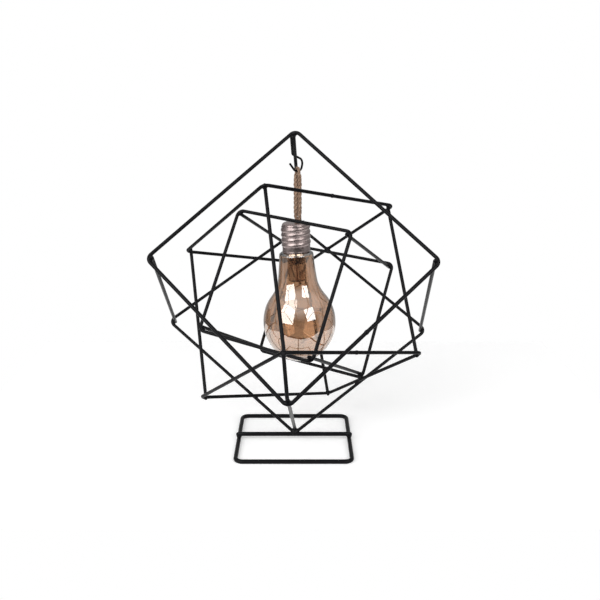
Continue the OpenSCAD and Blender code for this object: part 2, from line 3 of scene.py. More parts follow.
import bmesh
import bpy
import numpy as np
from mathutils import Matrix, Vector


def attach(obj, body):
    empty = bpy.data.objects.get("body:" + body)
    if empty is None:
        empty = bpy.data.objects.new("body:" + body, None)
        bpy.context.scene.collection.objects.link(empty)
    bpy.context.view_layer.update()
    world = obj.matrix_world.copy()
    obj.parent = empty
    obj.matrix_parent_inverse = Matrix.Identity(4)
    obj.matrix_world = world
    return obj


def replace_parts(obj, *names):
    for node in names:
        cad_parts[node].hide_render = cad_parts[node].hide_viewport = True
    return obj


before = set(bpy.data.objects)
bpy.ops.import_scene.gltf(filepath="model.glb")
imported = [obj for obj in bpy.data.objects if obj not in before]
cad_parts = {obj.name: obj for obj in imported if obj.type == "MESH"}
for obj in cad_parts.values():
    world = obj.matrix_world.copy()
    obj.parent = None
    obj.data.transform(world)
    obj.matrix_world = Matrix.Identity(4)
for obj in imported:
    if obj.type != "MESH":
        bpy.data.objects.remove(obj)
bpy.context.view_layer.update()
print("frame loaded")

# All sizes below are in millimetres and degrees; meshes are scaled to metres when they are made.
mm = 0.001


def hexColour(text):
    # sRGB hex to the linear values that shaders take
    c = np.array([int(text[i:i + 2], 16) for i in (1, 3, 5)]) / 255
    return (*np.where(c <= 0.04045, c / 12.92, ((c + 0.055) / 1.055) ** 2.4), 1.0)


def addNode(tree, kind, settings=(), sockets=(), links=()):
    # one node, its properties, its socket values and what feeds its sockets
    node = tree.nodes.new(kind)
    for key, value in dict(settings).items():
        setattr(node, key, value)
    for key, value in dict(sockets).items():
        node.inputs[key].default_value = value
    for key, source in dict(links).items():
        tree.links.new(source, node.inputs[key])
    return node


def newMaterial(name, base, **sockets):
    # a Principled material with plain values on its own sockets
    material = bpy.data.materials.new(name)
    material.use_nodes = True
    tree = material.node_tree
    tree.nodes.clear()
    values = {key.replace("_", " "): value for key, value in sockets.items()}
    shader = addNode(tree, "ShaderNodeBsdfPrincipled", sockets={"Base Color": hexColour(base), **values})
    addNode(tree, "ShaderNodeOutputMaterial", links={"Surface": shader.outputs[0]})
    return material, tree, shader


def feed(tree, shader, **sources):
    # links that replace the plain values of the shader's own sockets
    for key, source in sources.items():
        tree.links.new(source, shader.inputs[key.replace("_", " ")])


def objectPoints(tree, scale=(1, 1, 1)):
    # object coordinates in millimetres, stretched by scale
    place = addNode(tree, "ShaderNodeTexCoord")
    return addNode(tree, "ShaderNodeMapping", sockets={"Scale": [s / mm for s in scale]},
                   links={"Vector": place.outputs["Object"]}).outputs[0]


def surfaceNoise(tree, points, size, detail=3.0, roughness=0.55):
    # noise whose grains are about size millimetres across
    values = {"Scale": 1 / size, "Detail": detail, "Roughness": roughness}
    return addNode(tree, "ShaderNodeTexNoise", sockets=values, links={"Vector": points}).outputs["Fac"]


def colourBetween(tree, share, low, high, start=0.35, stop=0.65):
    # one colour up to start, the other from stop, and a ramp between them
    ramp = addNode(tree, "ShaderNodeValToRGB", links={"Fac": share})
    for end, place, colour in zip(ramp.color_ramp.elements, (start, stop), (low, high)):
        end.position, end.color = place, hexColour(colour)
    return ramp.outputs["Color"]


def valueBetween(tree, share, low, high):
    # a plain value that runs with share from low to high
    return addNode(tree, "ShaderNodeMapRange", sockets={"To Min": low, "To Max": high},
                   links={"Value": share}).outputs[0]


def bump(tree, shader, height, depth, strength=1.0):
    # depth is in millimetres
    node = addNode(tree, "ShaderNodeBump", sockets={"Strength": strength, "Distance": depth * mm},
                   links={"Height": height})
    feed(tree, shader, Normal=node.outputs[0])


# Finishes

def blackPowderCoat():
    # matt black powder coat on steel wire: an orange-peel skin about 0.6 mm across softens every highlight
    material, tree, shader = newMaterial("blackPowderCoat", "#08080a", Roughness=0.33, IOR=1.5,
                                         Specular_IOR_Level=0.1)
    points = objectPoints(tree)
    peel = surfaceNoise(tree, points, 0.6, 2.0)
    patches = surfaceNoise(tree, points, 9.0, 2.0)
    feed(tree, shader, Base_Color=colourBetween(tree, patches, "#08080a", "#0d0d10"),
         Roughness=valueBetween(tree, patches, 0.28, 0.38))
    bump(tree, shader, peel, 0.02, 0.6)
    return material


def juteFibre():
    # loosely spun jute: long pale and dark fibres along each strand, dull with a soft sheen
    material, tree, shader = newMaterial("spunJute", "#ae9078", Roughness=0.85, IOR=1.45, Sheen_Weight=0.25,
                                         Sheen_Roughness=0.5)
    run = addNode(tree, "ShaderNodeUVMap", settings={"uv_map": "UVMap"})
    # the map runs in millimetres: a fibre is about 0.15 mm wide and 4 mm long
    fibre = addNode(tree, "ShaderNodeMapping", sockets={"Scale": (0.25, 6.0, 1)},
                    links={"Vector": run.outputs[0]})
    lines = surfaceNoise(tree, fibre.outputs[0], 1.0, 4.0, 0.6)
    patches = surfaceNoise(tree, objectPoints(tree), 2.2, 2.0)
    fine = colourBetween(tree, lines, "#634b39", "#a08067", 0.3, 0.7)
    blotch = colourBetween(tree, patches, "#715646", "#b89c86", 0.35, 0.7)
    mix = addNode(tree, "ShaderNodeMix", settings={"data_type": "RGBA"}, sockets={"Factor": 0.4},
                  links={6: fine, 7: blotch})
    feed(tree, shader, Base_Color=mix.outputs[2])
    bump(tree, shader, lines, 0.12, 0.9)
    return material


def dullSilver():
    # thin pressed cap with a dull silver plating, a little pink: faint rolling marks and small dents
    material, tree, shader = newMaterial("pressedCapSilver", "#b3a3a0", Metallic=1.0, Roughness=0.25)
    points = objectPoints(tree)
    dents = surfaceNoise(tree, points, 2.5, 2.0)
    grain = surfaceNoise(tree, points, 0.25, 2.0)
    feed(tree, shader, Base_Color=colourBetween(tree, dents, "#918280", "#a69996"),
         Roughness=valueBetween(tree, grain, 0.28, 0.42))
    bump(tree, shader, dents, 0.05, 0.5)
    return material


def amberLustre():
    # blown soda glass with a vapour-deposited half mirror: brown to look through, silvery where it reflects;
    # the coat reflects like an index of 2.5, and the wall looks darker where it is seen edge on
    material, tree, shader = newMaterial("amberLustreGlass", "#d9bda8", Roughness=0.02, IOR=2.5,
                                         Transmission_Weight=1.0)
    points = objectPoints(tree)
    cloud = surfaceNoise(tree, points, 14.0, 2.0)
    tint = colourBetween(tree, cloud, "#d2b69d", "#dabea5")
    edge = addNode(tree, "ShaderNodeLayerWeight", sockets={"Blend": 0.25})
    rim = addNode(tree, "ShaderNodeMapRange", sockets={"From Min": 0.2, "From Max": 0.75},
                  links={"Value": edge.outputs["Facing"]})
    mix = addNode(tree, "ShaderNodeMix", settings={"data_type": "RGBA"}, sockets={7: hexColour("#8f7a6c")},
                  links={"Factor": rim.outputs[0], 6: tint})
    feed(tree, shader, Base_Color=mix.outputs[2])
    ripple = surfaceNoise(tree, points, 9.0, 1.0)
    bump(tree, shader, ripple, 0.25, 0.4)
    return material


def plainSteel(name, base, rough):
    # nickel-plated stamping: fine directionless scratches
    material, tree, shader = newMaterial(name, base, Metallic=1.0, Roughness=rough)
    grain = surfaceNoise(tree, objectPoints(tree, (1, 1, 6)), 0.3, 3.0)
    feed(tree, shader, Roughness=valueBetween(tree, grain, rough - 0.08, rough + 0.12))
    bump(tree, shader, grain, 0.01, 0.5)
    return material


def smokedClearPlastic():
    # the battery tube: clear plastic, a little cloudy, warmer and whiter in faint streaks about 2.5 mm across
    # that run down its length
    material, tree, shader = newMaterial("batteryPackPlastic", "#fff4ec", Roughness=0.15, IOR=1.3,
                                         Transmission_Weight=0.95)
    streaks = surfaceNoise(tree, objectPoints(tree, (1, 1, 0.12)), 2.5, 2.0)
    feed(tree, shader, Base_Color=colourBetween(tree, streaks, "#f0d4c0", "#ffffff"))
    return material


def boardLaminate():
    # green glass-fibre laminate: the weave of 0.6 mm yarns shows under the lacquer
    material, tree, shader = newMaterial("glassFibreBoard", "#1f5a38", Roughness=0.35, IOR=1.5)
    points = objectPoints(tree)
    weave = addNode(tree, "ShaderNodeTexChecker", sockets={"Scale": 1 / 0.6}, links={"Vector": points})
    yarns = weave.outputs["Fac"]
    feed(tree, shader, Base_Color=colourBetween(tree, yarns, "#1b5233", "#24653f", 0.1, 0.9))
    bump(tree, shader, yarns, 0.02, 0.4)
    return material


def lacqueredCopper():
    # enamelled copper wire, brown and glossy
    material, tree, shader = newMaterial("lacqueredCopper", "#8a4a2a", Metallic=1.0, Roughness=0.3)
    grain = surfaceNoise(tree, objectPoints(tree), 1.5, 2.0)
    feed(tree, shader, Base_Color=colourBetween(tree, grain, "#6e3a22", "#9c5833"))
    return material


def clearResin():
    # drop of clear epoxy over the lamp chip, slightly milky
    material, tree, shader = newMaterial("ledResin", "#f2e6c4", Roughness=0.12, IOR=1.5,
                                         Transmission_Weight=0.6)
    milk = surfaceNoise(tree, objectPoints(tree), 0.8, 2.0)
    feed(tree, shader, Base_Color=colourBetween(tree, milk, "#e9d9ae", "#fbf4de"))
    return material


finishes = {
    "coat": blackPowderCoat(), "jute": juteFibre(), "silver": dullSilver(), "amber": amberLustre(),
    "pack": smokedClearPlastic(), "board": boardLaminate(),
    "steel": plainSteel("nickelPlatedSteel", "#b9bcc0", 0.28),
    "copper": lacqueredCopper(), "resin": clearResin(),
}
print("finishes made")


# Meshes

def placed(name, data):
    # a new object in the scene
    thing = bpy.data.objects.new(name, data)
    bpy.context.collection.objects.link(thing)
    return thing


def meshObject(name, points, faces, finish, body, uv=None, sharp=60):
    # points in millimetres; closed surfaces get their faces turned outwards
    mesh = bpy.data.meshes.new(name)
    mesh.from_pydata((np.asarray(points, float) * mm).tolist(), [], [list(map(int, f)) for f in faces])
    if uv is not None:
        corner = np.zeros(len(mesh.loops), np.int32)
        mesh.loops.foreach_get("vertex_index", corner)
        layer = mesh.uv_layers.new(name="UVMap")
        layer.data.foreach_set("uv", np.asarray(uv, np.float32)[corner].ravel())
    mesh.polygons.foreach_set("use_smooth", np.ones(len(mesh.polygons), bool))
    mesh.set_sharp_from_angle(angle=math.radians(sharp))
    mesh.materials.append(finishes[finish])
    thing = placed(name, mesh)
    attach(thing, body)
    return thing


def coatedPiece(name, surface, node):
    # a piece of powder-coated wire or weld on the frame, in place of the solid of that name
    points, faces, uv = surface
    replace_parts(meshObject(name, points, faces, "coat", "frame", uv), node)


def joined(parts):
    # several (points, faces, uv) surfaces as one
    start, points, faces, uvs = 0, [], [], []
    for p, f, uv in parts:
        points.append(p)
        faces += [[i + start for i in face] for face in f]
        uvs.append(uv)
        start += len(p)
    return np.vstack(points), faces, np.vstack(uvs)


def gridFaces(rows, columns):
    # quads of a grid whose columns close round
    r, c = np.arange(rows - 1)[:, None], np.arange(columns)[None]
    a, b = r * columns + c, r * columns + (c + 1) % columns
    return np.stack([a, b, b + columns, a + columns], -1).reshape(-1, 4)


def closedGridFaces(rows, columns):
    # the same, with the last row joined to the first
    first, last = np.arange(columns), (rows - 1) * columns + np.arange(columns)
    seam = np.stack([last, np.roll(last, -1), np.roll(first, -1), first], -1)
    return np.vstack([gridFaces(rows, columns), seam])


def ballRays(rows, columns):
    # directions (sin p cos a, sin p sin a, cos p) on a grid from pole to pole
    polar = np.linspace(0, np.pi, rows)[:, None]
    around = np.linspace(0, 2 * np.pi, columns, endpoint=False)[None]
    rays = np.stack(np.broadcast_arrays(np.sin(polar) * np.cos(around), np.sin(polar) * np.sin(around),
                                        np.cos(polar)), -1)
    return polar, around, rays


def ballFaces(rows, columns):
    # faces of such a ball whose points are the rows between the poles, then the two poles
    top, last = (rows - 2) * columns, (rows - 3) * columns
    faces = gridFaces(rows - 2, columns)[:, ::-1].tolist()
    faces += [[top, i, (i + 1) % columns] for i in range(columns)]
    return faces + [[top + 1, last + (i + 1) % columns, last + i] for i in range(columns)]


def unit(v):
    return v / np.linalg.norm(v, axis=-1, keepdims=True)


def runAlong(path):
    # length run from the path's start to each of its points
    return np.concatenate([[0], np.cumsum(np.linalg.norm(np.diff(path, axis=0), axis=1))])


def carriedFrames(path, closed):
    # side vectors along a path, each the last one turned as little as the path's bend needs
    ahead, behind = np.roll(path, -1, 0), np.roll(path, 1, 0)
    if not closed:
        ahead[-1], behind[0] = path[-1], path[0]
    along = unit(ahead - behind)
    start = np.cross(along[0], [0.3, 1.0, 0.05])
    sides = [unit(start)]
    for t in along[1:]:
        sides.append(unit(sides[-1] - t * (sides[-1] @ t)))
    sides = np.array(sides)
    if closed:
        # the turn left over at the seam is spread along the whole ring
        last = unit(sides[-1] - along[0] * (sides[-1] @ along[0]))
        spare = math.atan2(np.cross(last, sides[0]) @ along[0], last @ sides[0])
        turn = np.linspace(0, spare, len(path) + 1)[:-1, None]
        sides = sides * np.cos(turn) + np.cross(along, sides) * np.sin(turn)
    return along, sides, np.cross(along, sides)


def tubeSurface(path, radius, columns=20, closed=False):
    # point(i, a) = path[i] + radius[i] * (cos a * side[i] + sin a * up[i]); an open tube ends in flat faces
    path = np.asarray(path, float)
    radius = np.broadcast_to(np.asarray(radius, float), len(path))
    along, side, up = carriedFrames(path, closed)
    a = np.linspace(0, 2 * np.pi, columns, endpoint=False)
    ring = side[:, None] * np.cos(a)[None, :, None] + up[:, None] * np.sin(a)[None, :, None]
    points = (path[:, None] + ring * radius[:, None, None]).reshape(-1, 3)
    uv = np.stack(np.broadcast_arrays(runAlong(path)[:, None], (a * radius.max())[None]), -1).reshape(-1, 2)
    if closed:
        return points, closedGridFaces(len(path), columns).tolist(), uv
    caps = [list(range(columns - 1, -1, -1)), list((len(path) - 1) * columns + np.arange(columns))]
    return points, gridFaces(len(path), columns).tolist() + caps, uv


def endedWire(a, b, radius, chamfer=0.3):
    # a straight cut wire whose ends are slightly rounded by the coat
    a, b = np.asarray(a, float), np.asarray(b, float)
    v, length = unit(b - a), np.linalg.norm(b - a)
    cuts = np.array([0, chamfer * 0.35, chamfer])
    steps = np.concatenate([cuts, np.linspace(chamfer, length - chamfer, 12)[1:-1], length - cuts[::-1]])
    shrink = np.array([chamfer, chamfer * 0.35, 0])
    radii = radius - np.concatenate([shrink, np.zeros(len(steps) - 6), shrink[::-1]])
    return tubeSurface(a + steps[:, None] * v, radii)


# points along the arc of a square's corner
cornerRings = 9


def bentPath(corners, bends, closed, arcSteps=cornerRings):
    # a wire path: each corner becomes an arc of its bend radius, tangent to both of its sides; seen from
    # its centre the arc is (sin((1 - t) full) first + sin(t full) last) / sin full
    corners = np.asarray(corners, float)
    count, pieces = len(corners), []
    for i, bend in enumerate(np.broadcast_to(bends, count)):
        q = corners[i]
        if not closed and i in (0, count - 1):
            pieces.append(q[None])
            continue
        u, w = unit(corners[i - 1] - q), unit(corners[(i + 1) % count] - q)
        inward = unit(u + w)
        half = math.acos(u @ inward)
        centre = q + inward * bend / math.sin(half)
        first, last = q + u * bend / math.tan(half) - centre, q + w * bend / math.tan(half) - centre
        full = math.pi - 2 * half
        t = np.linspace(0, 1, arcSteps)[:, None]
        arc = (np.sin((1 - t) * full) * first + np.sin(t * full) * last) / math.sin(full)
        pieces.append(centre + arc)
    return np.vstack(pieces)


# The three cubes
# Each is two bent squares, slightly askew, with four struts welded into their corners.

lampSizes = {
    "wireRadius": 1.5, "bend": 5.5, "weldSink": 0.12, "beadRadius": 2.2,
    "footWidth": 110, "footDepth": 102.5, "footWireRadius": 2, "footBend": 7, "barOverhang": -1,
    "footSink": 0.6, "footCornerX": 0.7, "coat": 0.14, "strutPast": 0.7,
    "topCornerSet": (-1.1, 0, 0.3), "topStrutSet": (-1.5, 0, 0),
}
# rearTurn is the slant and twist of the cube's second square; share is against the next larger cube's edge
outerCube = {"edge": 175, "angles": (89.5, 100.1), "shift": (1.8, 1.5), "rearTurn": (0, 3.6, -0.1),
             "turn": (54.5, 0.1, -2.5)}
middleCube = {"share": 0.859, "angles": (90.7, 92.2), "shift": (-3.3, 2.6), "rearTurn": (0, 0, -1.8),
              "turn": (32.7, 13.3, 175.9)}
innerCube = {"share": 0.813, "angles": (89.4, 89), "shift": (-4.8, -5.2), "rearTurn": (0, 0, 1.2),
             "turn": (53.7, -34.1, -4.8)}
middleCube["edge"] = outerCube["edge"] * middleCube["share"]
innerCube["edge"] = middleCube["edge"] * innerCube["share"]


def turnMatrix(angles):
    # turns about X, then Y, then Z
    (a, b, c) = np.radians(angles)
    aboutX = np.array([[1, 0, 0], [0, math.cos(a), -math.sin(a)], [0, math.sin(a), math.cos(a)]])
    aboutY = np.array([[math.cos(b), 0, math.sin(b)], [0, 1, 0], [-math.sin(b), 0, math.cos(b)]])
    aboutZ = np.array([[math.cos(c), -math.sin(c), 0], [math.sin(c), math.cos(c), 0], [0, 0, 1]])
    return aboutZ @ aboutY @ aboutX


def cubeCorners(cube):
    # eight corners about the cube's middle: a rhombus at each end of its own Z
    rows = []
    for sign, angle, turn in ((1, cube["angles"][0], (0, 0, 0)), (-1, cube["angles"][1], cube["rearTurn"])):
        half = math.radians(angle / 2)
        t, s = cube["edge"] * math.cos(half), cube["edge"] * math.sin(half)
        square = np.array([[0, t, 0], [s, 0, 0], [0, -t, 0], [-s, 0, 0]]) @ turnMatrix(turn).T
        rows.append(square + sign / 2 * np.array([*cube["shift"], cube["edge"]]))
    return np.vstack(rows) @ turnMatrix(cube["turn"]).T


def cornerPoint(corners, i, start, depth):
    # the point depth millimetres inside the bent wire at a square's corner
    q, p, r = corners[start + i], corners[start + (i + 3) % 4], corners[start + (i + 1) % 4]
    inward = unit(unit(p - q) + unit(r - q))
    half = math.acos(unit(p - q) @ inward)
    return q + inward * (lampSizes["bend"] / math.sin(half) - lampSizes["bend"] + depth)


def leaned(corners, rests):
    # moves a cube until three of its wires, each from c to d, touch the wires a to b that it leans on
    normals, targets = [], []
    for a, b, c, d, wanted in rests:
        n = unit(np.cross(b - a, d - c))
        normals.append(n)
        targets.append(wanted - (c - a) @ n)
    return corners + np.linalg.solve(np.array(normals), np.array(targets))


wire = 2 * lampSizes["wireRadius"]
touch = wire - lampSizes["weldSink"]
# the powder coat stands on the bare wire
coated = lampSizes["wireRadius"] + lampSizes["coat"]
barHeight = 3 * lampSizes["footWireRadius"] - lampSizes["weldSink"]
outer = cubeCorners(outerCube)
foot = cornerPoint(outer, 2, 4, 0)
standHeight = barHeight + lampSizes["wireRadius"] + lampSizes["footWireRadius"] - lampSizes["footSink"]
outer = outer + np.array([lampSizes["footCornerX"] - foot[0], -foot[1], standHeight - foot[2]])
# the front square's top corner was bent a little to the left of true
outer[0] += lampSizes["topCornerSet"]
free = cubeCorners(middleCube)
middle = leaned(free, [(outer[4], outer[5], free[2], free[3], -touch),
                       (outer[7], outer[4], free[1], free[2], touch),
                       (outer[5], outer[6], free[6], free[7], touch)])
free = cubeCorners(innerCube)
# the inner cube rests on the middle one with the bend of its lowest corner
restBend = cornerPoint(free, 2, 4, 0)
inner = leaned(free, [(outer[4], outer[5], free[4], free[5], touch),
                      (middle[6], middle[7], restBend, restBend + free[7] - free[5], -touch),
                      (middle[1], middle[2], free[7], free[4], touch)])


def bentCorner(corners, start, i):
    # the wire round one corner of a square, with its two sides
    ring = bentPath(corners[start:start + 4], lampSizes["bend"], True)
    near = np.roll(ring, -cornerRings * i, 0)[:cornerRings]
    return np.vstack([corners[start + (i + 3) % 4], near, corners[start + (i + 1) % 4]])


def strutEnds(corners, i):
    # a strut runs a share of the wire's thickness past the two corners that it is welded into
    a, b = (cornerPoint(corners, i, start, touch) for start in (0, 4))
    v = unit(b - a) * wire * lampSizes["strutPast"]
    return a - v, b + v


def segmentDistance(points, path):
    # least distance from each point to a path's straight pieces
    a, b = path[:-1], path[1:]
    v = b - a
    share = np.clip(((points[..., None, :] - a) * v).sum(-1) / (v * v).sum(-1), 0, 1)
    return np.linalg.norm(points[..., None, :] - (a + share[..., None] * v), axis=-1).min(-1)


weldShape = {"rows": 30, "columns": 44, "blend": 0.55, "start": 0.4, "reach": 5.4, "steps": 64, "dip": 0.56,
             "unevenness": 0.12}


def weldSkin(centre, wires, beadRadius, seed, reach=None):
    # a weld fillet: along each ray from the bead's middle, the radius where the smooth union of the bead and
    # of the wires, -blend log(sum of exp(-distance / blend)), crosses zero; far out on a wire the skin dips
    # under the wire's own surface; lumps = sin(3p + seed) cos(2a + 2 seed) + sin(5a + seed) sin(p) / 2
    w = weldShape
    reach = reach or w["reach"]
    polar, around, rays = ballRays(w["rows"], w["columns"])
    radii = np.linspace(w["start"], reach, w["steps"])
    points = centre + rays[:, :, None] * radii[None, None, :, None]
    fields = [segmentDistance(points, path) - radius for path, radius in wires]
    lumps = (np.sin(3 * polar + seed) * np.cos(2 * around + 2 * seed)
             + np.sin(5 * around + seed) * np.sin(polar) * 0.5)
    fields.append(np.broadcast_to(radii, points.shape[:-1]) - beadRadius - w["unevenness"] * lumps[..., None])
    k = w["blend"]
    union = -k * np.log(sum(np.exp(-f / k) for f in fields)) + w["dip"] * k * (radii / reach) ** 2
    outside = union > 0
    first = np.where(outside.any(-1), outside.argmax(-1), len(radii) - 1)
    before = np.maximum(first - 1, 0)
    low = np.take_along_axis(union, before[..., None], -1)[..., 0]
    high = np.take_along_axis(union, first[..., None], -1)[..., 0]
    share = np.clip(np.where(high > low, -low / np.maximum(high - low, 1e-6), 1), 0, 1)
    length = radii[before] + share * (radii[first] - radii[before])
    length[0], length[-1] = length[0].mean(), length[-1].mean()
    skin = centre + rays * length[..., None]
    points = np.vstack([skin[1:-1].reshape(-1, 3), skin[0, 0], skin[-1, 0]])
    return points, ballFaces(w["rows"], w["columns"]), np.zeros((len(points), 2))


# a bead lies mostly inside its corner; the butt weld that closes a square is a low ridge
cubeWelds = {"bead": lampSizes["beadRadius"] * 0.92, "ridge": 0.12, "ridgeReach": 3.4, "followShare": 0.7}


def buildCube(corners, loops, struts, welds, closings, seed, firstSet=(0, 0, 0)):
    # two bent squares, four struts, eight corner welds and the butt welds that close the squares; firstSet
    # moves the first strut's front end off the corner's middle, and its bead goes part of the way with it
    for start, (name, node) in zip((0, 4), loops):
        ring = bentPath(corners[start:start + 4], lampSizes["bend"], True)
        coatedPiece(name, tubeSurface(ring, coated, 24, True), node)
    ends = [strutEnds(corners, i) for i in range(4)]
    ends[0] = (ends[0][0] + firstSet, ends[0][1])
    for (a, b), (name, node) in zip(ends, struts):
        coatedPiece(name, endedWire(a, b, coated), node)
    skins = []
    for i in range(4):
        for k, start in enumerate((0, 4)):
            bead = cornerPoint(corners, i, start, wire / 2)
            if i == 0 and start == 0:
                bead = bead + np.array(firstSet) * cubeWelds["followShare"]
            wires = [(bentCorner(corners, start, i), coated), (np.array(ends[i]), coated)]
            skins.append(weldSkin(bead, wires, cubeWelds["bead"], 1.7 * i + k + seed))
    for a, b in closings:
        path = np.array([corners[a], corners[b]])
        skins.append(weldSkin(path.mean(0), [(path, coated)], coated + cubeWelds["ridge"], a,
                              cubeWelds["ridgeReach"]))
    coatedPiece(welds[0], joined(skins), welds[1])


buildCube(outer, (("outerFrontSquare", "outer_front_loop"), ("outerRearSquare", "outer_rear_loop")),
          (("outerTopStrut", "outer_strut_top"), ("outerRightStrut", "outer_strut_right"),
           ("outerBottomStrut", "outer_strut_bottom"), ("outerLeftStrut", "outer_strut_left")),
          ("outerCornerWelds", "outer_welds"), ((1, 2),), 0, lampSizes["topStrutSet"])
buildCube(middle, (("middleUpperSquare", "middle_upper_loop"), ("middleLowerSquare", "middle_lower_loop")),
          tuple((f"middleStrut{i}", f"middle_strut_{i}") for i in (1, 2, 3, 4)),
          ("middleCornerWelds", "middle_welds"), ((0, 3), (4, 7)), 1)
buildCube(inner, (("innerFrontSquare", "inner_front_loop"), ("innerRearSquare", "inner_rear_loop")),
          tuple((f"innerStrut{i}", f"inner_strut_{i}") for i in (1, 2, 3, 4)),
          ("innerCornerWelds", "inner_welds"), (), 2)
print("cubes made")


# Where the cubes lean on each other, and the short stay

def nearestPair(a, b, c, d):
    # the two points where the line a to b and the line c to d come nearest to each other
    u, v, w = unit(b - a), unit(d - c), a - c
    k = u @ v
    return a + u * ((k * (v @ w) - u @ w) / (1 - k * k)), c + v * ((v @ w - k * (u @ w)) / (1 - k * k))


crossingShape = {"leanBead": 1.9, "stayBead": 2.6, "stayPast": 0.3}
leanBead = crossingShape["leanBead"]


def crossingWeld(a, b, c, d, seed):
    # the bead between two wires that touch
    p, q = nearestPair(a, b, c, d)
    return weldSkin((p + q) / 2, [(np.array([a, b]), coated), (np.array([c, d]), coated)], leanBead, seed)


stay = cornerPoint(outer, 2, 0, -wire * crossingShape["stayPast"]), cornerPoint(middle, 0, 4, 0)
coatedPiece("stayWire", endedWire(*stay, coated), "stay_wire")

stayCorner, restCorner = bentCorner(middle, 4, 0), bentCorner(inner, 4, 2)
restLine = cornerPoint(inner, 2, 4, 0)
restPoint = sum(nearestPair(middle[6], middle[7], restLine, restLine + inner[7] - inner[5])) / 2
leans = [crossingWeld(outer[4], outer[5], middle[2], middle[3], 1),
         crossingWeld(outer[7], outer[4], middle[1], middle[2], 2),
         crossingWeld(outer[5], outer[6], middle[6], middle[7], 3),
         crossingWeld(outer[6], outer[7], middle[5], middle[6], 4),
         crossingWeld(outer[4], outer[5], inner[4], inner[5], 5),
         weldSkin(restPoint, [(middle[6:8], coated), (restCorner, coated)], leanBead, 6),
         crossingWeld(middle[1], middle[2], inner[7], inner[4], 7),
         weldSkin(stay[1], [(np.array(stay), coated), (stayCorner, coated)], crossingShape["stayBead"], 8)]
coatedPiece("crossingWelds", joined(leans), "crossing_welds")

# The foot

footWeldShape = {"side": 2.4, "sideReach": 6, "middle": 3.0, "middleReach": 7}
r, w, d = lampSizes["footWireRadius"], lampSizes["footWidth"] / 2, lampSizes["footDepth"] / 2
lie = r + lampSizes["coat"]
footRing = bentPath([[-w, -d, lie], [w, -d, lie], [w, d, lie], [-w, d, lie]], lampSizes["footBend"], True)
coatedPiece("footRing", tubeSurface(footRing, lie, 28, True), "base_loop")
barEnd = w + r + lampSizes["barOverhang"]
bar = np.array([[-barEnd, 0, barHeight], [barEnd, 0, barHeight]])
coatedPiece("footBar", endedWire(*bar, lie, 0.4), "base_crossbar")
footWelds = []
for sign in (-1, 1):
    footSide = np.array([[sign * w, -d, r], [sign * w, d, r]])
    footWelds.append(weldSkin(np.array([sign * w, 0, 2 * r]), [(bar, r), (footSide, r)],
                              footWeldShape["side"], sign, footWeldShape["sideReach"]))
lowEnd = cornerPoint(outer, 2, 4, 0)
lowWires = [(bar, r), (bentCorner(outer, 4, 2), coated), (np.array(strutEnds(outer, 2)), coated)]
footWelds.append(weldSkin((lowEnd + [lampSizes["footCornerX"], 0, barHeight]) / 2, lowWires,
                          footWeldShape["middle"], 5, footWeldShape["middleReach"]))
coatedPiece("footWelds", joined(footWelds), "base_welds")
print("foot made")

# Hook

# from the place where the rope hangs, bulge and tip are (out, up), and under is out only, for two corners
hookShape = {"radius": 1.0, "start": 1.5, "leave": 31, "drop": 38.6, "ropeX": 3.7, "ropeY": 25, "turn": 30,
             "sink": 0.05, "bulge": (6, 9.6), "under": (3.6, -3), "tip": (-8.4, 7),
             "bends": (0, 5, 6, 3.4, 3, 0)}
topStrut = strutEnds(outer, 0)
topStrut = (topStrut[0] + lampSizes["topStrutSet"], topStrut[1])
strutAlong = unit(topStrut[1] - topStrut[0])
hookLeft = unit(np.cross(np.cross(strutAlong, [-1, 0, 0]), strutAlong))
hookSide = hookLeft * (lampSizes["wireRadius"] + hookShape["radius"] - hookShape["sink"])
cornerHeight = outer[0][2] - lampSizes["topCornerSet"][2]
hookLow = np.array([hookShape["ropeX"], hookShape["ropeY"], cornerHeight - hookShape["drop"]])
hookTurn = math.radians(hookShape["turn"])
hookOut = np.array([math.cos(hookTurn), math.sin(hookTurn), 0])
besideStrut = [topStrut[0] + strutAlong * hookShape[k] + hookSide for k in ("start", "leave")]
(bulgeOut, bulgeUp), (tipOut, tipUp) = hookShape["bulge"], hookShape["tip"]
# along the strut, out in a bulge to the right, under the rope and up into an open tip
hookCorners = [*besideStrut, hookLow + hookOut * bulgeOut + [0, 0, bulgeUp],
               *(hookLow + hookOut * out for out in hookShape["under"]),
               hookLow + hookOut * tipOut + [0, 0, tipUp]]
hookPath = bentPath(hookCorners, hookShape["bends"], False, 13)
coatedPiece("wireHook", tubeSurface(hookPath, hookShape["radius"]), "hook")

# Jute loop

# squeezed is the strands' share of their full size over the hook and in the lid; spreadBy, turnBy, closeFrom
# and closeOver are shares of a leg, and nearEnd and nearCrown say over which lengths the strands swell
ropeShape = {"radius": 1.35, "legs": 3.1, "length": 48.7, "intoLid": 3.8, "overHook": 0.15, "slotSet": 0.2,
             "strands": 3, "strandRadius": 1.1, "uneven": 0.08, "lay": 1.0, "spread": 1.8, "pitch": 13,
             "squeezed": 0.7, "nearEnd": (4.2, 12), "nearCrown": (4.5, 10), "spreadBy": 0.22, "turnBy": 0.3,
             "closeFrom": 0.72, "closeOver": 0.24}
crownRadius = hookShape["radius"] + ropeShape["radius"] + ropeShape["overHook"]


def eased(x):
    # rises from 0 to 1 with level ends: 3x squared minus 2x cubed, x held between 0 and 1
    x = np.clip(x, 0, 1)
    return x * x * (3 - 2 * x)


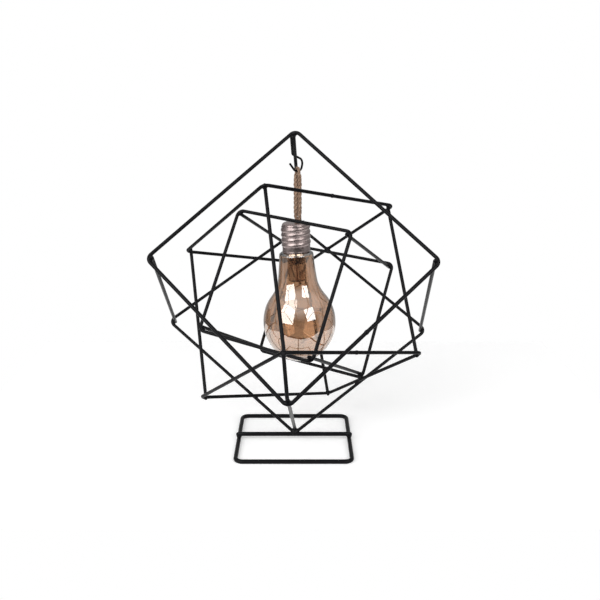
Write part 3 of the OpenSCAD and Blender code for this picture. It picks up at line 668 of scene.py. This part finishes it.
def ropeCentre(count=70):
    # up one leg, over the hook in a half circle, and down the other; below the hook the legs turn side by
    # side, and they close up into the lid's slot: leg = (half cos turn, half sin turn, -drop)
    r = ropeShape
    share = np.linspace(1, 0, count)[:-1]
    spread, slot = r["spread"], r["legs"] / 2 - r["slotSet"]
    half = (crownRadius + (spread - crownRadius) * eased(share / r["spreadBy"])
            + (slot - spread) * eased((share - r["closeFrom"]) / r["closeOver"]))
    turn = (hookTurn - math.pi / 2) * (1 - eased(share / r["turnBy"]))
    leg = np.stack([half * np.cos(turn), half * np.sin(turn), -share * (r["length"] + r["intoLid"])], 1)
    a, across = np.linspace(np.pi, 0, 15)[:, None], hookTurn - math.pi / 2
    crown = crownRadius * np.hstack([np.cos(a) * math.cos(across), np.cos(a) * math.sin(across), np.sin(a)])
    return hookLow + np.vstack([leg * [-1, -1, 1], crown, leg[::-1]])


ropeLine = ropeCentre()
along, side, up = carriedFrames(ropeLine, False)
run = runAlong(ropeLine)
# the strands are loosely spun, and squeezed together near the lid's slot and over the hook
fromEnd, fromCrown = np.minimum(run, run[-1] - run), abs(run - run[-1] / 2)
loose = np.interp(fromEnd, ropeShape["nearEnd"], (0, 1))
loose = loose * np.interp(fromCrown, ropeShape["nearCrown"], (0, 1))
full = ropeShape["squeezed"] + (1 - ropeShape["squeezed"]) * loose
strands = []
for k in range(ropeShape["strands"]):
    a = 2 * np.pi * (run / ropeShape["pitch"] + k / ropeShape["strands"])[:, None]
    line = ropeLine + (side * np.cos(a) + up * np.sin(a)) * ropeShape["lay"] * full[:, None]
    uneven = 1 + ropeShape["uneven"] * np.sin(run * 1.3 + k * 2)
    strands.append(tubeSurface(line, full * ropeShape["strandRadius"] * uneven, 12))
points, faces, uv = joined(strands)
juteLoop = meshObject("juteLoop", points, faces, "jute", "rope", uv)
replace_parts(juteLoop, "hanging_rope")

# loose fibres stand off the strands, each a thin bent hair that tapers to its tip:
# fibre(t) = root + length * (outward * (rise t + curl sin 3t) + lean t), half as far sideways
fuzzShape = {"fibres": 260, "length": 3.2, "radius": 0.045, "rootAt": 1.5, "rise": 0.45, "curl": 0.25}
fibreRandom = np.random.default_rng(4)
at = fibreRandom.uniform(2, len(ropeLine) - 3, fuzzShape["fibres"]).astype(int)
angle = fibreRandom.uniform(0, 2 * np.pi, len(at))[:, None]
outward = side[at] * np.cos(angle) + up[at] * np.sin(angle)
upOrDown = fibreRandom.choice([-1, 1], len(at))[:, None]
lean = along[at] * upOrDown * fibreRandom.uniform(0.4, 1, len(at))[:, None]
length = fuzzShape["length"] * fibreRandom.uniform(0.4, 1, len(at))[:, None]
root = ropeLine[at] + outward * fuzzShape["rootAt"] * full[at][:, None]
t = np.linspace(0, 1, 5)[None, :, None]
bow = outward[:, None] * (fuzzShape["rise"] * t + fuzzShape["curl"] * np.sin(3 * t)) + lean[:, None] * t
fibres = root[:, None] + bow * length[:, None] * [0.5, 0.5, 1]
hair = [tubeSurface(fibre, fuzzShape["radius"] * np.array([1, 1, 0.8, 0.6, 0.3]), 4) for fibre in fibres]
points, faces, uv = joined(hair)
juteFuzz = meshObject("juteFuzz", points, faces, "jute", "rope", uv)

# The knot is a trefoil: (sin a + 2 sin 2a, cos a - 2 cos 2a, -1.2 sin 3a), scaled to its radius
knotShape = {"radius": 3.3, "thick": 1.15}
knotMiddle = hookLow - [0, 0, ropeShape["length"] + ropeShape["intoLid"] + knotShape["radius"] * 0.75]
a = np.linspace(0, 2 * np.pi, 90, endpoint=False)
trefoil = np.stack([np.sin(a) + 2 * np.sin(2 * a), np.cos(a) - 2 * np.cos(2 * a), -1.2 * np.sin(3 * a)], 1)
trefoil = knotMiddle + trefoil / 3 * (knotShape["radius"] - knotShape["thick"])
points, faces, uv = tubeSurface(trefoil, knotShape["thick"], 12, True)
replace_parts(meshObject("ropeKnot", points, faces, "jute", "rope", uv), "rope_knot")
print("hook and jute loop made")

# Bulb
# Its own frame has the lid's middle at the origin and depth counted down the axis.

# capRadius, bore, neck and belly are radii; lid, shellEnd, collarEnd and length are depths below the lid's
# top; neckEdge is (depth below the collar, radius against the neck) twice
bulbShape = {"tilt": 2.6, "ropeOffset": 2.8, "capRadius": 14.2, "capSet": 0.4, "bore": 11.3, "lid": 3.2,
             "shellEnd": 26.6, "collarEnd": 28.6, "neck": 16.2, "neckEdge": ((0.4, -2), (1.2, -0.7)),
             "belly": 35.7, "bellyAt": 0.645, "length": 139.5, "wall": 1.0, "gap": 0.08, "lip": 0.9,
             "lipDepth": 2.4}
lidTop = hookLow - [0, 0, ropeShape["length"]]


def inBulb(points):
    # from the bulb's own (x, y, depth) to the lamp's frame
    local = np.asarray(points, float) * [1, 1, -1] - [bulbShape["ropeOffset"], 0, 0]
    return lidTop + local @ turnMatrix((0, -bulbShape["tilt"], 0)).T


glassColumns = 128


def turnedSurface(profile, columns=glassColumns):
    # a closed profile of (depth, radius) turned about the axis: (radius cos a, radius sin a, depth)
    profile = np.asarray(profile, float)
    a = np.linspace(0, 2 * np.pi, columns, endpoint=False)
    points = np.stack([profile[:, 1:] * np.cos(a), profile[:, 1:] * np.sin(a),
                       np.repeat(profile[:, :1], columns, 1)], -1)
    return points.reshape(-1, 3), closedGridFaces(len(profile), columns)[:, ::-1].tolist()


# past is how far beyond its ends the thread still runs, fadeIn and fadeOut the lengths over which it rises
# and sinks; edge rounds off the shell's uppermost rings
threadShape = {"rows": 170, "columns": 144, "height": 0.8, "pitch": 4.9, "crests": 3.95, "past": 1.2,
               "fadeIn": 2, "fadeOut": 2.2, "power": 0.75, "edge": (0.3, 0.02), "edgeRings": 4}


def threadedShell():
    # a right-hand thread: radius(a, depth) = root + height * (0.5 + 0.5 cos(2 pi depth / pitch + a)) ^ power,
    # so that the crests are broad and the grooves narrow; it runs out to the root below and to the lid above
    b, t = bulbShape, threadShape
    depth = np.linspace(b["lid"], b["shellEnd"], t["rows"])
    a = np.linspace(0, 2 * np.pi, t["columns"], endpoint=False)
    first, last = b["lid"] - t["past"], b["lid"] + t["pitch"] * t["crests"] + t["past"]
    fade = np.clip((depth - first) / t["fadeIn"], 0, 1) * np.clip((last - depth) / t["fadeOut"], 0, 1)
    turns = (depth[:, None] - b["lid"] - t["pitch"] / 2) / t["pitch"]
    wave = (0.5 + 0.5 * np.cos(2 * np.pi * turns + a[None] + np.pi / 2)) ** t["power"]
    outside = b["capRadius"] - t["height"] + t["height"] * wave * eased(fade)[:, None]
    outside[:t["edgeRings"]] -= np.linspace(*t["edge"], t["edgeRings"])[:, None]
    rows = np.concatenate([outside, np.full((2, len(a)), b["bore"])])
    depths = np.concatenate([depth, [b["shellEnd"], b["lid"]]])
    points = np.stack([rows * np.cos(a), rows * np.sin(a), np.repeat(depths[:, None], len(a), 1)], -1)
    return points.reshape(-1, 3), closedGridFaces(len(rows), len(a))[:, ::-1].tolist()


points, faces = threadedShell()
points = inBulb(points + [bulbShape["capSet"], 0, 0])
cap = meshObject("threadedCap", points, faces, "silver", "bulb_cap", sharp=50)
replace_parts(cap, "cap_shell")

# the glass from the collar to its widest place: (share of the depth, share of the swelling)
flank = [[0.035, 0.018], [0.12, 0.035], [0.2, 0.066], [0.32, 0.115], [0.42, 0.17], [0.5, 0.265], [0.58, 0.42],
         [0.66, 0.63], [0.73, 0.785], [0.8, 0.885], [0.88, 0.96], [0.94, 0.99]]


def smoothedLine(knots, per=6):
    # a Catmull-Rom line through the knots: at share t between p1 and p2 it is half of 2 p1 + (p2 - p0) t
    # + (2 p0 - 5 p1 + 4 p2 - p3) t^2 + (3 p1 - p0 - 3 p2 + p3) t^3
    k = np.vstack([2 * knots[0] - knots[1], knots, 2 * knots[-1] - knots[-2]])
    t = np.linspace(0, 1, per, endpoint=False)[None, :, None]
    p0, p1, p2, p3 = (k[i:len(k) - 3 + i, None] for i in range(4))
    line = 0.5 * (2 * p1 + (p2 - p0) * t + (2 * p0 - 5 * p1 + 4 * p2 - p3) * t ** 2
                  + (3 * p1 - p0 - 3 * p2 + p3) * t ** 3)
    return np.vstack([line.reshape(-1, 2), knots[-1:]])


def glassProfile():
    # the neck's edge and the flank, then a quarter ellipse (belly cos a, depth sin a) down to the pole; the
    # inside follows one wall further in
    b = bulbShape
    top, tube = b["collarEnd"], b["bore"] - b["gap"]
    belly = top + (b["length"] - top) * b["bellyAt"]
    edge = [[top + 0.02, tube + b["lip"]], *([top + down, b["neck"] + out] for down, out in b["neckEdge"])]
    rings = [[top + (belly - top) * x, b["neck"] + (b["belly"] - b["neck"]) * y] for x, y in flank]
    upper = smoothedLine(np.array(edge + rings + [[belly, b["belly"]]]))
    a = np.radians(np.linspace(0, 89.4, 40))[1:, None]
    lower = np.hstack([belly + (b["length"] - belly) * np.sin(a), b["belly"] * np.cos(a)])
    outline = np.vstack([upper, lower])
    step = np.gradient(outline, axis=0)
    normal = unit(np.stack([step[:, 1], -step[:, 0]], 1))
    within = outline + normal * b["wall"]
    lipEnd = top + b["lipDepth"]
    within = within[(within[:, 0] > lipEnd) & (within[:, 1] > 0.3)]
    lip = [[lipEnd, tube + b["lip"]], [lipEnd, tube], [top, tube]]
    return np.vstack([outline, within[::-1], lip])


def weldedPoles(thing):
    # merges points that lie on each other, as at a pole, and turns the faces outwards
    shape = bmesh.new()
    shape.from_mesh(thing.data)
    bmesh.ops.remove_doubles(shape, verts=shape.verts, dist=1e-6)
    bmesh.ops.recalc_face_normals(shape, faces=shape.faces)
    shape.to_mesh(thing.data)
    shape.free()


profile = glassProfile()
points, faces = turnedSurface(profile)
# the outside and the inside each end in a small open ring at the pole, which is pulled to the axis
poleRow = int(np.argmax(profile[:, 0]))
points[poleRow * glassColumns:(poleRow + 2) * glassColumns, :2] = 0
glass = meshObject("amberGlass", inBulb(points), faces, "amber", "bulb_glass", sharp=70)
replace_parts(glass, "glass_bulb")
weldedPoles(glass)
print("glass and cap made")

# Light string

# the battery pack below the lid: depths and thicknesses down to the bay's end, where the string begins
packShape = {"board": 9.6, "boardThick": 1.2, "length": 43, "leadRoom": 8, "plate": 0.5, "cells": 3,
             "cellHeight": 5.4, "cup": 1.6}
stringShape = {"wireRadius": 0.22, "twist": 3.2, "turns": 2.25, "bead": 1.2, "beadLong": 1.3, "beads": 6,
               "fromGlass": 11, "fromPole": 14, "fromBay": 0.6, "fromHolder": 1, "swell": 160}
holderTop = bulbShape["lid"] + packShape["board"] + packShape["boardThick"]
holderEnd = holderTop + packShape["length"]
bayEnd = (holderTop + packShape["leadRoom"] + packShape["plate"]
          + packShape["cells"] * packShape["cellHeight"] + packShape["cup"])
stringTop = bayEnd + stringShape["fromBay"]
stringEnd = bulbShape["length"] - stringShape["fromPole"]


def stringLine(steps):
    # straight out of the pack, then a curl (r cos a, r sin a) with r = widest * sin(swell * share)
    share = np.linspace(0, 1, steps)
    curlTop = holderEnd + stringShape["fromHolder"]
    down = np.linspace(stringTop, curlTop, 8)[:-1]
    a = 2 * np.pi * stringShape["turns"] * share
    widest = bulbShape["belly"] - stringShape["fromGlass"]
    radius = widest * np.sin(np.radians(stringShape["swell"] * share))
    curl = np.stack([radius * np.cos(a), radius * np.sin(a), curlTop + (stringEnd - curlTop) * share], 1)
    return np.vstack([np.stack([down * 0, down * 0, down], 1), curl])


line = stringLine(160)
along, side, up = carriedFrames(line, False)
run = runAlong(line)
pair = []
for k in (0, 1):
    a = 2 * np.pi * (run / stringShape["twist"] + k / 2)[:, None]
    wireLine = line + (side * np.cos(a) + up * np.sin(a)) * stringShape["wireRadius"]
    pair.append(tubeSurface(inBulb(wireLine), stringShape["wireRadius"], 8))
points, faces, uv = joined(pair)
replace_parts(meshObject("ledWirePair", points, faces, "copper", "bulb_cap", uv), "led_wire")
beadRows, beadColumns = 14, 20
beadBody = ballRays(beadRows, beadColumns)[2] * [1, 1, stringShape["beadLong"]] * stringShape["bead"]
beadFaces = [face[::-1] for face in ballFaces(beadRows, beadColumns)]
beadBody = np.vstack([beadBody[1:-1].reshape(-1, 3), beadBody[[0, -1], 0]])
for k, place in enumerate(stringLine(49)[9::9][:stringShape["beads"]]):
    points = inBulb(place + beadBody)
    bead = meshObject(f"ledBead{k + 1}", points, beadFaces, "resin", "bulb_cap")
    weldedPoles(bead)
    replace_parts(bead, f"led_{k + 1}")

# CAD pieces that keep their own shape, with their edges slightly rounded

edgeShape = {"width": 0.12, "steps": 2, "sharpFrom": 32, "roundFrom": 40}
keptNodes = {
    "cap_lid": ("capLid", "silver", "bulb_cap", "silver_cap"),
    "neck_collar": ("neckCollar", "silver", "bulb_glass", "silver_cap"),
    "battery_holder": ("batteryPack", "pack", "bulb_cap", "pack_plastic"),
    "circuit_board": ("circuitBoard", "board", "bulb_cap", "board_laminate"),
    "switch_body": ("switchBody", "steel", "bulb_cap", "plated_steel"),
    "switch_knob": ("switchKnob", "steel", "switch", "plated_steel"),
    "resistor": ("resistorChip", "pack", "bulb_cap", "pack_plastic"),
    "contact_plate": ("contactPlate", "steel", "bulb_cap", "plated_steel"),
    "contact_cup": ("contactCup", "steel", "bulb_cap", "plated_steel"),
    **{f"cell_{i}": (f"buttonCell{i}", "steel", "bulb_cap", "plated_steel") for i in (1, 2, 3)},
}
for node, (name, finish, body, slotName) in keptNodes.items():
    thing = placed(name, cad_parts[node].data.copy())
    thing.data.materials.clear()
    thing.data.materials.append(finishes[finish])
    weldedPoles(thing)
    thing.data.polygons.foreach_set("use_smooth", np.ones(len(thing.data.polygons), bool))
    thing.data.set_sharp_from_angle(angle=math.radians(edgeShape["sharpFrom"]))
    edges = thing.modifiers.new("edges", "BEVEL")
    edges.width, edges.segments = edgeShape["width"] * mm, edgeShape["steps"]
    edges.limit_method, edges.angle_limit = "ANGLE", math.radians(edgeShape["roundFrom"])
    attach(thing, body)
    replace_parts(thing, node)
print("bulb made")

# Table, light and camera

# the table's front edge is close to the lamp, as the dark band in the bulb's reflection shows; front, back
# and half, its half width, are in metres. Each From pair says between which values of a direction's Y or Z,
# or of its closeness to the doorway, that part of the room sets in.
studio = {"front": -0.16, "back": 0.3, "half": 0.34, "white": "#e8e8e8", "light": "#ffffff",
          "whiteGlow": 0.37, "ambient": 0.35, "room": 0.47, "frontRoom": 0.035, "frontFrom": (-0.3, -0.6),
          "ceiling": 0.8, "ceilingFrom": (0.08, 0.66), "doorway": (-0.84, 0.525, -0.14), "door": 0.3,
          "doorFrom": (0.955, 0.98)}
mesh = bpy.data.meshes.new("tableTop")
h, y0, y1 = studio["half"], studio["front"], studio["back"]
mesh.from_pydata([(-h, y0, 0), (h, y0, 0), (h, y1, 0), (-h, y1, 0)], [], [(0, 1, 2, 3)])
table = placed("tableTop", mesh)
material = bpy.data.materials.new("whiteTable")
material.use_nodes = True
tree = material.node_tree
tree.nodes.clear()


def mathNode(tree, operation, first, second):
    node = addNode(tree, "ShaderNodeMath", settings={"operation": operation}, links={0: first, 1: second})
    return node.outputs[0]


def lookedAt(tree, path):
    # 1 where a ray comes from the camera, from a reflection or through glass
    first, second, third = (path[f"Is {kind} Ray"] for kind in ("Camera", "Glossy", "Transmission"))
    return mathNode(tree, "MAXIMUM", mathNode(tree, "MAXIMUM", first, second), third)


def smoothShare(tree, value, span, low, high):
    # low up to the span's start and high from its stop, with a smooth step between them
    values = {"From Min": span[0], "From Max": span[1], "To Min": low, "To Max": high}
    return addNode(tree, "ShaderNodeMapRange", settings={"interpolation_type": "SMOOTHSTEP"}, sockets=values,
                   links={"Value": value}).outputs[0]


light = hexColour(studio["light"])
plain = addNode(tree, "ShaderNodeBsdfDiffuse", sockets={"Color": hexColour(studio["white"])})
glow = addNode(tree, "ShaderNodeEmission", sockets={"Color": light, "Strength": studio["whiteGlow"]})
white = addNode(tree, "ShaderNodeAddShader", links={0: plain.outputs[0], 1: glow.outputs[0]})
path = addNode(tree, "ShaderNodeLightPath").outputs
seen = lookedAt(tree, path)
choice = addNode(tree, "ShaderNodeMixShader", links={"Fac": seen, 1: plain.outputs[0], 2: white.outputs[0]})
addNode(tree, "ShaderNodeOutputMaterial", links={"Surface": choice.outputs[0]})
mesh.materials.append(material)

# the room: white to the camera and through the glass; reflections see grey walls, a pale ceiling and the dark
# side that the photographer stands on
world = bpy.data.worlds.new("studioRoom")
bpy.context.scene.world = world
world.use_nodes = True
tree = world.node_tree
tree.nodes.clear()
path = addNode(tree, "ShaderNodeLightPath").outputs
ahead = addNode(tree, "ShaderNodeTexCoord").outputs["Generated"]
way = addNode(tree, "ShaderNodeSeparateXYZ", links={0: ahead}).outputs
frontShare = smoothShare(tree, way["Y"], studio["frontFrom"], studio["room"], studio["frontRoom"])
topShare = smoothShare(tree, way["Z"], studio["ceilingFrom"], 0.0, studio["ceiling"])
# a dark doorway on the left, which shows as the golden streak near the bulb's left edge
facing = addNode(tree, "ShaderNodeVectorMath", settings={"operation": "DOT_PRODUCT"},
                 sockets={1: studio["doorway"]}, links={0: ahead}).outputs["Value"]
doorShare = smoothShare(tree, facing, studio["doorFrom"], 1.0, studio["door"])
level = mathNode(tree, "MAXIMUM", mathNode(tree, "MULTIPLY", frontShare, doorShare), topShare)
room = addNode(tree, "ShaderNodeBackground", sockets={"Color": light}, links={"Strength": level})
ambient = addNode(tree, "ShaderNodeBackground", sockets={"Color": light, "Strength": studio["ambient"]})
full = addNode(tree, "ShaderNodeBackground", sockets={"Color": light, "Strength": 1.0})
# the glossy depth counts reflections only, also those inside the bulb before the light leaves through the
# glass; a ray that passes straight through glass is a glossy ray too
mirror = addNode(tree, "ShaderNodeMath", settings={"operation": "GREATER_THAN"}, sockets={1: 0.5},
                 links={0: path["Glossy Depth"]}).outputs[0]
through = lookedAt(tree, path)
soft = addNode(tree, "ShaderNodeMixShader", links={"Fac": through, 1: ambient.outputs[0], 2: full.outputs[0]})
choice = addNode(tree, "ShaderNodeMixShader", links={"Fac": mirror, 1: soft.outputs[0], 2: room.outputs[0]})
addNode(tree, "ShaderNodeOutputWorld", links={"Surface": choice.outputs[0]})

# two softboxes and the pale panel over the left one; azimuth is counted from the camera's side to the right,
# distances are in metres
lampSet = {
    "leftSoftbox": {"azimuth": -43, "height": 24, "distance": 2.4, "size": (2.1, 1.9), "power": 44},
    "leftPanel": {"azimuth": -44, "height": 52, "distance": 2.4, "size": (1.7, 0.75), "power": 9},
    "rightSoftbox": {"azimuth": 39, "height": 27.5, "distance": 2.4, "size": (1.3, 1.5), "power": 26},
}
lampAim = Vector((0.004, 0.025, 0.13))
for name, lamp in lampSet.items():
    source = bpy.data.lights.new(name, "AREA")
    source.shape, source.size, source.size_y, source.energy = "RECTANGLE", *lamp["size"], lamp["power"]
    thing = placed(name, source)
    side, up = math.radians(lamp["azimuth"]), math.radians(lamp["height"])
    away = Vector((math.sin(side) * math.cos(up), -math.cos(side) * math.cos(up), math.sin(up)))
    thing.location = lampAim + away * lamp["distance"]
    thing.rotation_euler = (-away).to_track_quat("-Z", "Y").to_euler()

cameraShape = {"place": (5.92, -706.72, 346.14), "down": 15.88, "lens": 46.37, "sensor": 36}
lens = bpy.data.cameras.new("photoCamera")
lens.lens, lens.sensor_width = cameraShape["lens"], cameraShape["sensor"]
camera = placed("photoCamera", lens)
camera.location = [x * mm for x in cameraShape["place"]]
camera.rotation_euler = (math.radians(90 - cameraShape["down"]), 0, 0)
bpy.context.scene.camera = camera
bpy.context.scene.view_settings.view_transform = "Standard"

print("scene ready")
